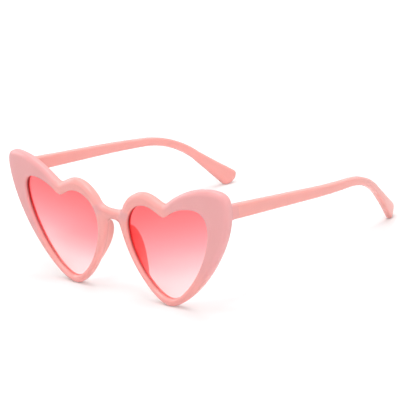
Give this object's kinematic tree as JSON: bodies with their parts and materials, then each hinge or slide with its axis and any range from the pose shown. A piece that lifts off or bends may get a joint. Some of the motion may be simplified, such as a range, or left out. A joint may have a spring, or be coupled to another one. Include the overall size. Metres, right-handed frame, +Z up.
{
  "type": "heart shaped sunglasses",
  "caption": "Sunglasses with a heart shaped rim round each tinted lens, swept-up outer corners, nose pads and hinged arms that fold flat behind the front.",
  "frame": {"origin": "centre of the bounding box, at the level of the table the open sunglasses stand on", "axes": "+X to the wearer's left, +Y from the lenses back to the arm tips, +Z up"},
  "size_m": [0.1426, 0.149, 0.0629],
  "materials": {
    "frame_plastic": "polished",
    "lens_tint": "gradient tint, darker at the top",
    "hinge_metal": "satin"
  },
  "bodies": {
    "front": {"front_frame": "frame_plastic", "lens_left": "lens_tint", "lens_right": "lens_tint", "nose_pad_left": "frame_plastic", "nose_pad_right": "frame_plastic", "front_leaf_left": "hinge_metal", "front_leaf_right": "hinge_metal", "hinge_screw_left": "hinge_metal", "hinge_screw_right": "hinge_metal"},
    "arm_left": {"temple_left": "frame_plastic", "temple_leaf_left": "hinge_metal", "core_wire_left": "hinge_metal"},
    "arm_right": {"temple_right": "frame_plastic", "temple_leaf_right": "hinge_metal", "core_wire_right": "hinge_metal"}
  },
  "joints": [
    {"name": "arm_left_fold", "type": "hinge", "parent": "front", "child": "arm_left", "pos_m": [0.0643, -0.0608, 0.05113], "axis": [0, 0, 1], "range_deg": [0, 85]},
    {"name": "arm_right_fold", "type": "hinge", "parent": "front", "child": "arm_right", "pos_m": [-0.0643, -0.0608, 0.05113], "axis": [0, 0, -1], "range_deg": [0, 75]}
  ]
}
